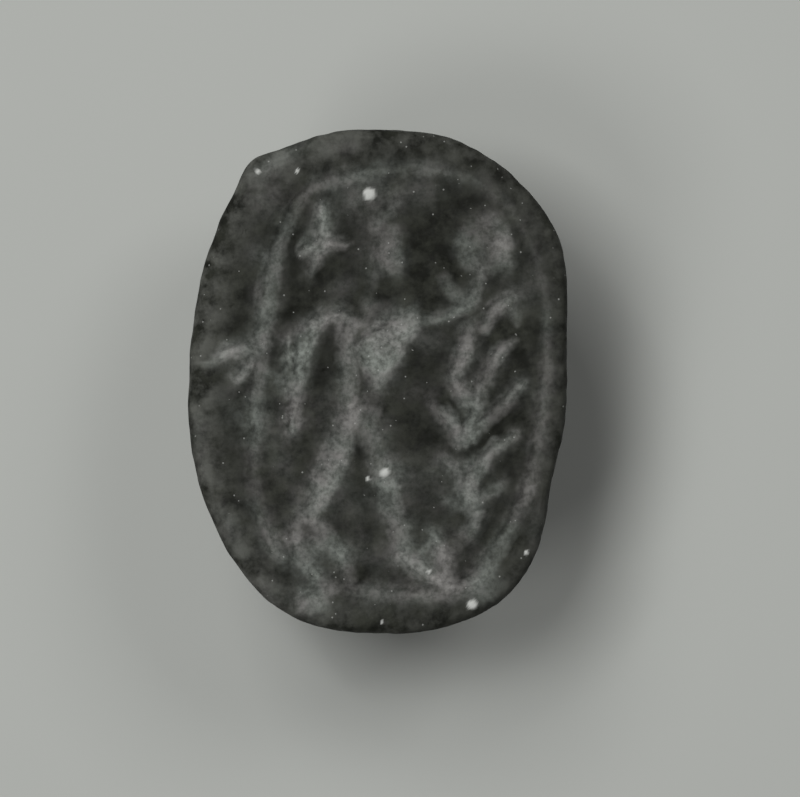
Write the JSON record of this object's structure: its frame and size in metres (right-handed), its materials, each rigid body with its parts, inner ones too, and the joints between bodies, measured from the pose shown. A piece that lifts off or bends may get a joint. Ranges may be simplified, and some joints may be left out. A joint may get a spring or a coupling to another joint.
{
  "type": "scarab seal",
  "caption": "Small oval stone seal with a domed beetle back, pierced lengthwise, and a flat face engraved with a striding figure.",
  "frame": {"origin": "middle of the stone's outline, on the surface that the beetle back lies on", "axes": "+Y towards the beetle's head and the top of the engraved scene, +Z out of the engraved sealing face"},
  "size_m": [0.015, 0.02, 0.0088],
  "materials": {
    "dark_stone": "worn, low sheen, with pale chalky dust in the cuts"
  },
  "bodies": {
    "root": {"scarab": "dark_stone"}
  },
  "joints": []
}
